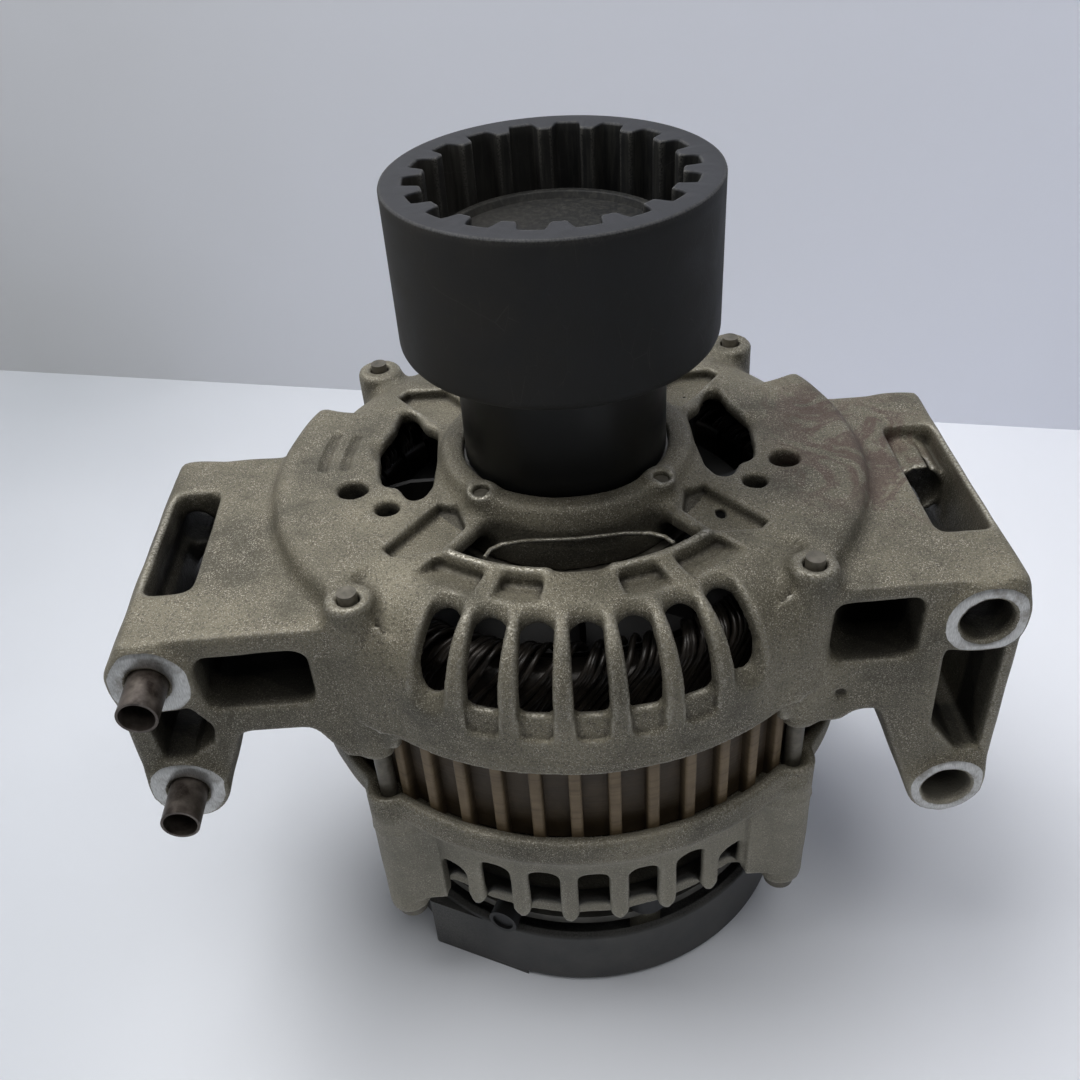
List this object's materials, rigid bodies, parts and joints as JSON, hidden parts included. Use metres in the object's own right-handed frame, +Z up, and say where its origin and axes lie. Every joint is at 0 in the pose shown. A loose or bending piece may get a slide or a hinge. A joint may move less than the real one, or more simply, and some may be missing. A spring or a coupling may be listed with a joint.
{
  "type": "alternator",
  "caption": "Heavy-duty claw-pole alternator with a splined coupling cup, two cast mounting arms, vented end brackets and a moulded rear cover.",
  "frame": {"origin": "on the shaft axis, in the face of the rear cover that the alternator stands on", "axes": "+Z up the shaft towards the splined coupling, -Y towards the mounting bosses, +X towards the arm with the plain bores"},
  "size_m": [0.2345, 0.168, 0.2419],
  "materials": {
    "cast_aluminium": "weathered sand-cast aluminium, dull brownish grey with bright rubbed edges",
    "cover_plastic": "dark grey moulded plastic, dusty and lightly scuffed",
    "laminations": "varnished steel laminations, khaki brown with thin rust",
    "winding": "enamelled copper winding under dark varnish",
    "bearing_steel": "ground bearing steel",
    "cage_plastic": "glass-filled nylon, brown black",
    "plated_steel": "zinc-plated steel, dulled",
    "rusty_sleeve": "rolled steel sleeve, dark with rust",
    "heat_sink": "pressed aluminium plate, dull",
    "diode": "plated copper diode cans",
    "black_plastic": "black moulded plastic",
    "carbon": "pressed carbon and copper brush",
    "shaft_steel": "turned steel",
    "coupling_steel": "phosphated steel, matt charcoal with worn edges",
    "black_sleeve": "smooth near-black sleeve with a soft gloss",
    "claw_iron": "forged iron poles with ground faces",
    "bobbin_plastic": "cream nylon bobbin",
    "fan_steel": "pressed steel fan, grey",
    "slip_ring_copper": "copper slip rings, polished track"
  },
  "bodies": {
    "housing": {"drive_end_bracket": "cast_aluminium", "left_arm": "cast_aluminium", "right_arm": "cast_aluminium", "slip_ring_end_bracket": "cast_aluminium", "rear_cover": "cover_plastic", "stator_core": "laminations", "stator_winding_front": "winding", "stator_winding_rear": "winding", "front_bearing_outer_ring": "bearing_steel", "rear_bearing_outer_ring": "bearing_steel", "bearing_retainer": "plated_steel", "retainer_screws": "plated_steel", "through_bolts": "plated_steel", "mounting_sleeves": "rusty_sleeve", "negative_heat_sink": "heat_sink", "positive_heat_sink": "heat_sink", "negative_diodes": "diode", "positive_diodes": "diode", "rectifier_spacers": "black_plastic", "brush_holder": "black_plastic", "regulator": "black_plastic", "regulator_screws": "plated_steel", "cover_screws": "plated_steel", "terminal_stud": "plated_steel", "terminal_nut": "plated_steel", "case_plug": "black_plastic", "low_brush_spring": "plated_steel", "high_brush_spring": "plated_steel"},
    "rotor": {"rotor_shaft": "shaft_steel", "coupling_cup": "coupling_steel", "coupling_sleeve": "black_sleeve", "coupling_cap": "coupling_steel", "shaft_nut": "plated_steel", "claw_pole_front": "claw_iron", "claw_pole_rear": "claw_iron", "coil_bobbin": "bobbin_plastic", "field_coil": "winding", "front_fan": "fan_steel", "rear_fan": "fan_steel", "slip_ring_core": "black_plastic", "slip_rings": "slip_ring_copper", "front_bearing_inner_ring": "bearing_steel", "rear_bearing_inner_ring": "bearing_steel"},
    "front_cage": {"front_bearing_cage": "cage_plastic", "front_bearing_balls": "bearing_steel"},
    "rear_cage": {"rear_bearing_cage": "cage_plastic", "rear_bearing_balls": "bearing_steel"},
    "low_brush": {"low_brush": "carbon"},
    "high_brush": {"high_brush": "carbon"}
  },
  "joints": [
    {"name": "rotor_spin", "type": "hinge", "parent": "housing", "child": "rotor", "pos_m": [0, 0, 0.155], "axis": [0, 0, 1], "continuous": true},
    {"name": "front_cage_spin", "type": "hinge", "parent": "housing", "child": "front_cage", "pos_m": [0, 0, 0.155], "axis": [0, 0, 1], "continuous": true},
    {"name": "rear_cage_spin", "type": "hinge", "parent": "housing", "child": "rear_cage", "pos_m": [0, 0, 0.043], "axis": [0, 0, 1], "continuous": true},
    {"name": "low_brush_slide", "type": "slide", "parent": "housing", "child": "low_brush", "axis": [0, 1, 0], "range_m": [0, 0.004], "stiffness_N_per_m": 120, "springref_m": -0.02, "deforming": ["low_brush_spring"]},
    {"name": "high_brush_slide", "type": "slide", "parent": "housing", "child": "high_brush", "axis": [0, 1, 0], "range_m": [0, 0.004], "stiffness_N_per_m": 120, "springref_m": -0.02, "deforming": ["high_brush_spring"]}
  ],
  "couplings": [
    {"joint": "front_cage_spin", "follows": "rotor_spin", "ratio": 0.3713},
    {"joint": "rear_cage_spin", "follows": "rotor_spin", "ratio": 0.3842}
  ]
}
